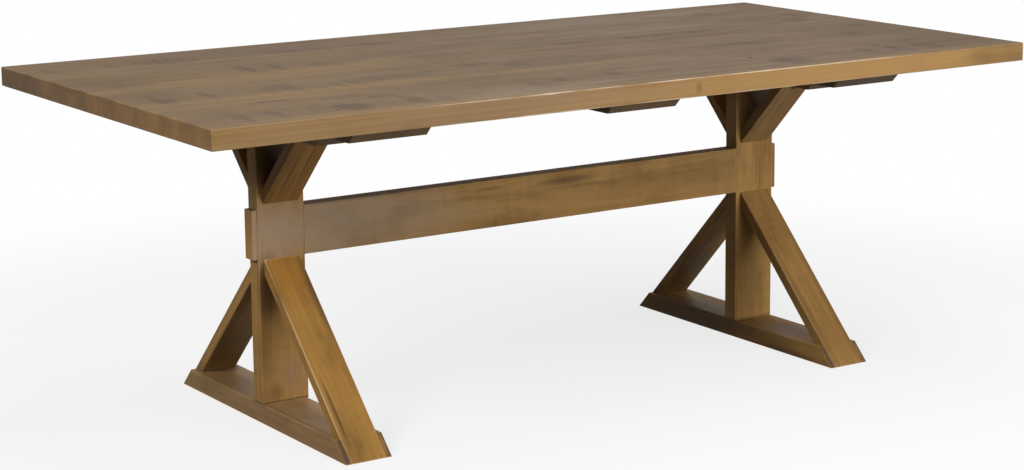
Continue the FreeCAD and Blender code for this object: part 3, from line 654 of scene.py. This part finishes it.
def finishHardware(name, values):
    material = bpy.data.materials.new(name)
    finish = Finish(material)
    position = finish.node("ShaderNodeTexCoord", {}, {}, output="Object")
    cloud = finish.noise(position, values["scale"], clouding["detail"])
    dullness = cloud.ease(*clouding["shows"])
    colour = finish.mix(dullness, paint(*values["colour"]), paint(*values["dull"]))
    roughness = values["roughness"] + cloud.swing(clouding["roughness"])
    finish.surface("ShaderNodeBsdfPrincipled", {"Base Color": colour, "Roughness": roughness,
                                                "Metallic": values["metallic"]})
    return material


hardwareFinishes = {name: finishHardware(name, values) for name, values in hardware.items()}
for name in nodes:
    if "dowels" in name:
        dress(name, hardwareFinishes["beech"])
    elif "inserts" in name:
        dress(name, hardwareFinishes["brass"])
    elif "bolts" in name or "washers" in name or "screws" in name:
        dress(name, hardwareFinishes["zinc"])
print("hardware finished")

# Floor, world and lamps. The floor looks white, throws hardly any light on the table, and shows
# a pale shadow that is gone where its reach ends.
floorValues = {"reach": 30.0, "gap": 0.0005, "white": 1.0, "bounce": 0.06,
               "shadowShare": 0.22, "shadowReach": (1.2, 2.6)}
worldLevel = 0.02


def seenDirectly(finish):
    camera, glossy, through = (finish.node("ShaderNodeLightPath", {}, {}, output=name) for name in
                               ("Is Camera Ray", "Is Glossy Ray", "Is Transmission Ray"))
    return (camera + glossy + through).lower(1.0)


def makeFloor(values):
    reach = values["reach"]
    mesh = bpy.data.meshes.new("floor")
    corners = [(-reach, -reach, 0), (reach, -reach, 0), (reach, reach, 0), (-reach, reach, 0)]
    mesh.from_pydata(corners, [], [(0, 1, 2, 3)])
    floor = bpy.data.objects.new("floor", mesh)
    bpy.context.scene.collection.objects.link(floor)
    material = bpy.data.materials.new("pale_floor")
    finish = Finish(material)
    direct = seenDirectly(finish)
    grey = (values["bounce"],) * 3 + (1,)
    white = (values["white"],) * 3 + (1,)
    matte = finish.node("ShaderNodeBsdfDiffuse", {}, {"Color": finish.mix(direct, grey, white)})
    glow = finish.node("ShaderNodeEmission", {}, {"Color": (1, 1, 1, 1), "Strength": 1.0})
    position = finish.node("ShaderNodeTexCoord", {}, {}, output="Object")
    away = finish.vector("LENGTH", position, output="Value")
    shadow = away.ease(*reversed(values["shadowReach"]), values["shadowShare"])
    finish.surface("ShaderNodeMixShader", {0: direct * (1 - shadow), 1: matte, 2: glow})
    floor.data.materials.append(material)
    floor.location.z = -values["gap"]


makeFloor(floorValues)

world = bpy.data.worlds.new("studio")
bpy.context.scene.world = world
backdrop = Finish(world, "ShaderNodeOutputWorld")
worldStrength = worldLevel + seenDirectly(backdrop) * (1 - worldLevel)
backdrop.surface("ShaderNodeBackground", {"Color": (1, 1, 1, 1), "Strength": worldStrength})

# level is the share of full white that a surface facing the lamp gets
lamps = {
    "nearLow": {"at": (2.0, -4.6, 0.55), "size": (3.0, 0.9), "level": 0.38},
    "nearMiddle": {"at": (0.4, -4.4, 1.8), "size": (3.0, 1.2), "level": 0.15},
    "nearHigh": {"at": (0.8, -3.4, 3.2), "size": (3.0, 1.5), "level": 0.17},
    "leftHigh": {"at": (-6.2, -1.9, 4.5), "size": (3.0, 2.4), "level": 0.20},
    "leftClose": {"at": (-3.6, -1.6, 2.6), "size": (1.4, 1.2), "level": 0.32},
    "overhead": {"at": (1.0, 0.2, 4.5), "size": (3.6, 2.6), "level": 0.40},
    "farSide": {"at": (1.8, 4.4, 0.42), "size": (3.4, 0.6), "level": 0.28},
    "rightSide": {"at": (4.6, 0.6, 0.42), "size": (2.6, 0.6), "level": 0.28},
}
lampTarget = Vector((0, 0, 0.5))


def hangLamp(name, values):
    data = bpy.data.lights.new(name, "AREA")
    data.shape = "RECTANGLE"
    data.size, data.size_y = values["size"]
    place = Vector(values["at"])
    way = lampTarget - place
    data.energy = math.pi ** 2 * way.length_squared * values["level"]
    lamp = bpy.data.objects.new(name, data)
    lamp.location = place
    lamp.rotation_mode = "QUATERNION"
    lamp.rotation_quaternion = way.to_track_quat("-Z", "Y")
    bpy.context.scene.collection.objects.link(lamp)


for name, values in lamps.items():
    hangLamp(name, values)
print("stage lit")

# The camera stands where the photograph was taken from, and its shift is the framing there
cameraValues = {"at": (-3.026, -4.602, 1.505), "yaw": 34.43, "pitch": -10.79, "roll": -0.30,
                "lens": 84.16, "sensor": 36, "shift": (-0.06, -0.05)}


def placeCamera(values):
    yaw, pitch, roll = (math.radians(values[name]) for name in ("yaw", "pitch", "roll"))
    ahead = Vector((math.sin(yaw) * math.cos(pitch), math.cos(yaw) * math.cos(pitch),
                    math.sin(pitch)))
    level = Vector((math.cos(yaw), -math.sin(yaw), 0))
    upright = level.cross(ahead)
    right = level * math.cos(roll) + upright * math.sin(roll)
    up = right.cross(ahead)
    data = bpy.data.cameras.new("camera")
    data.lens = values["lens"]
    data.sensor_width = values["sensor"]
    data.shift_x, data.shift_y = values["shift"]
    camera = bpy.data.objects.new("camera", data)
    turn = Matrix((right, up, -ahead)).transposed().to_4x4()
    camera.matrix_world = Matrix.Translation(values["at"]) @ turn
    bpy.context.scene.collection.objects.link(camera)
    bpy.context.scene.camera = camera


placeCamera(cameraValues)
bpy.context.scene.view_settings.view_transform = "Standard"
print("camera placed")
